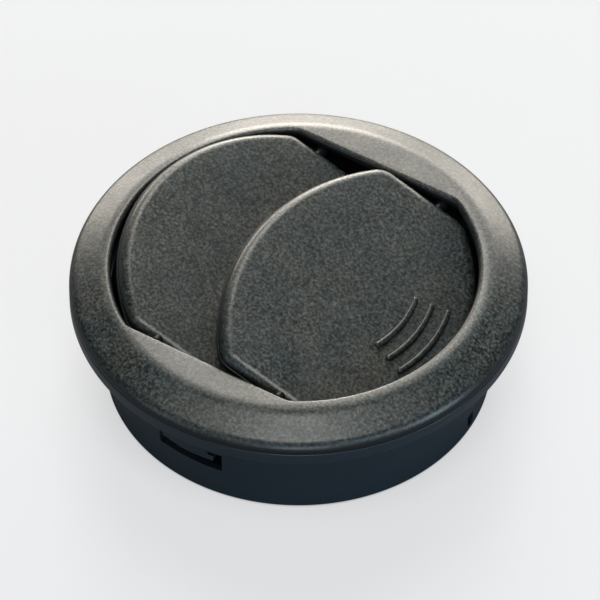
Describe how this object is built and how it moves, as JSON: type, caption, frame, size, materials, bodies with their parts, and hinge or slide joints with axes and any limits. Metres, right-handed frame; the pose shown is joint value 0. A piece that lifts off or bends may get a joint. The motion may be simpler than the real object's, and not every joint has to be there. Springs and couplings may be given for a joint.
{
  "type": "air outlet vent",
  "caption": "Round panel-mounted air outlet vent: a snap-in collar, a grained bezel that turns in it, and linked tilting flaps that close the opening.",
  "frame": {"origin": "centre of the collar's open end, on the vent axis", "axes": "+Z along the vent axis, out of the panel towards the room; +X along the straight sides of the opening; the flaps tilt about axes along +Y"},
  "size_m": [0.094, 0.094, 0.0356],
  "materials": {
    "collar_plastic": "smooth satin black",
    "grained_plastic": "fine spark-eroded grain, dark grey",
    "link_plastic": "plain moulded black"
  },
  "bodies": {
    "collar": {"mounting_collar": "collar_plastic"},
    "bezel": {"bezel_ring": "grained_plastic"},
    "flap_left": {"left_flap": "grained_plastic"},
    "flap_right": {"right_flap": "grained_plastic"},
    "link": {"coupling_link": "link_plastic"}
  },
  "joints": [
    {"name": "bezel_turn", "type": "hinge", "parent": "collar", "child": "bezel", "pos_m": [0, 0, 0.0242], "axis": [0, 0, 1], "continuous": true},
    {"name": "right_flap_tilt", "type": "hinge", "parent": "bezel", "child": "flap_right", "pos_m": [0.0146, 0, 0.0262], "axis": [0, 1, 0], "range_deg": [-10, 70]},
    {"name": "left_flap_tilt", "type": "hinge", "parent": "bezel", "child": "flap_left", "pos_m": [-0.0146, 0, 0.0262], "axis": [0, 1, 0], "range_deg": [-10, 70]},
    {"name": "link_pivot", "type": "hinge", "parent": "flap_right", "child": "link", "pos_m": [0.01684, -0.0318, 0.0223], "axis": [0, 1, 0], "range_deg": [-70, 10]}
  ],
  "couplings": [
    {"joint": "left_flap_tilt", "follows": "right_flap_tilt", "ratio": 1},
    {"joint": "link_pivot", "follows": "right_flap_tilt", "ratio": -1}
  ]
}
